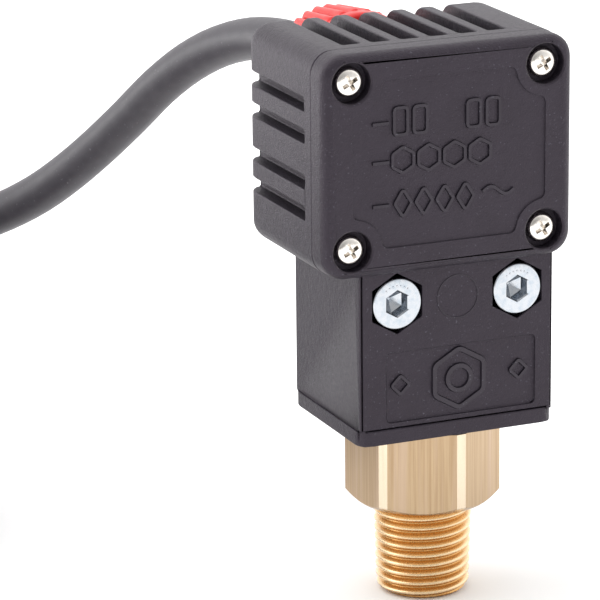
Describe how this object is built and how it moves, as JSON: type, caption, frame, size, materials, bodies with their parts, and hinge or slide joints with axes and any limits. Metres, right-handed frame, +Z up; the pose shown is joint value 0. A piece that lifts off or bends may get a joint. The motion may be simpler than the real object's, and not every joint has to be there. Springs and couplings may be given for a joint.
{
  "type": "pressure switch",
  "caption": "Piston pressure switch with a brass threaded inlet, a ribbed black housing with a screwed cover, and a red cable gland with a sheathed lead.",
  "frame": {"origin": "thread axis of the inlet, in the plane of the thread's tip", "axes": "+Z up along the thread axis, away from the thread's tip; -Y is the cover side, +Y the cable gland side"},
  "size_m": [0.1296, 0.1171, 0.079],
  "materials": {
    "brass": "turned, satin",
    "zinc_steel": "zinc plated, bright",
    "spring_steel": "oiled",
    "stainless": "ground",
    "black_moulding": "fine moulded grain",
    "seal_rubber": "matt",
    "guide_resin": "plain",
    "switch_resin": "smooth thermoset",
    "contact_alloy": "rolled strip",
    "red_moulding": "satin moulded",
    "cable_jacket": "satin PVC",
    "core_brown": "PVC insulation",
    "core_blue": "PVC insulation",
    "core_black": "PVC insulation",
    "tie_nylon": "nylon"
  },
  "bodies": {
    "fitting": {"inlet_fitting": "brass", "guide_bush": "brass", "piston_o_ring": "seal_rubber", "backup_ring": "guide_resin", "spring_adjuster": "brass", "barrel_seal": "seal_rubber", "setting_spring": "spring_steel"},
    "piston": {"piston": "stainless", "spring_seat": "zinc_steel", "actuator_pin": "stainless"},
    "head": {"housing": "black_moulding", "front_plate": "black_moulding", "clamp_screws": "zinc_steel", "clamp_nuts": "zinc_steel", "front_cover": "black_moulding", "cover_gasket": "seal_rubber", "cover_screws": "zinc_steel", "switch_case": "switch_resin", "switch_lid": "switch_resin", "switch_screws": "zinc_steel", "common_terminal": "contact_alloy", "closed_terminal": "contact_alloy", "open_terminal": "contact_alloy", "gland_seal": "seal_rubber", "gland_washer": "guide_resin", "gland_nut": "red_moulding", "wire_brown": "core_brown", "wire_blue": "core_blue", "wire_black": "core_black", "supply_cable": "cable_jacket", "cable_coil": "cable_jacket", "cable_tail": "cable_jacket", "cable_tie": "tie_nylon", "end_brown": "core_brown", "end_blue": "core_blue", "end_black": "core_black", "ferrules": "zinc_steel"},
    "button": {"switch_button": "guide_resin"},
    "blade": {"contact_blade": "contact_alloy"}
  },
  "joints": [
    {"name": "head_swivel", "type": "hinge", "parent": "fitting", "child": "head", "pos_m": [0, 0, 0.0444], "axis": [0, 0, 1], "continuous": true},
    {"name": "piston_slide", "type": "slide", "parent": "fitting", "child": "piston", "axis": [0, 0, 1], "range_m": [0, 0.0009], "stiffness_N_per_m": 9800, "deforming": ["setting_spring"]},
    {"name": "button_slide", "type": "slide", "parent": "head", "child": "button", "axis": [0, 0, 1], "range_m": [0, 0.0009]},
    {"name": "blade_hinge", "type": "hinge", "parent": "head", "child": "blade", "pos_m": [-0.009, 0, 0.0614], "axis": [0, -1, 0], "range_deg": [0, 6]}
  ],
  "couplings": [
    {"joint": "button_slide", "follows": "piston_slide", "ratio": 1},
    {"joint": "blade_hinge", "follows": "piston_slide", "rad_per_m": 111.1}
  ]
}
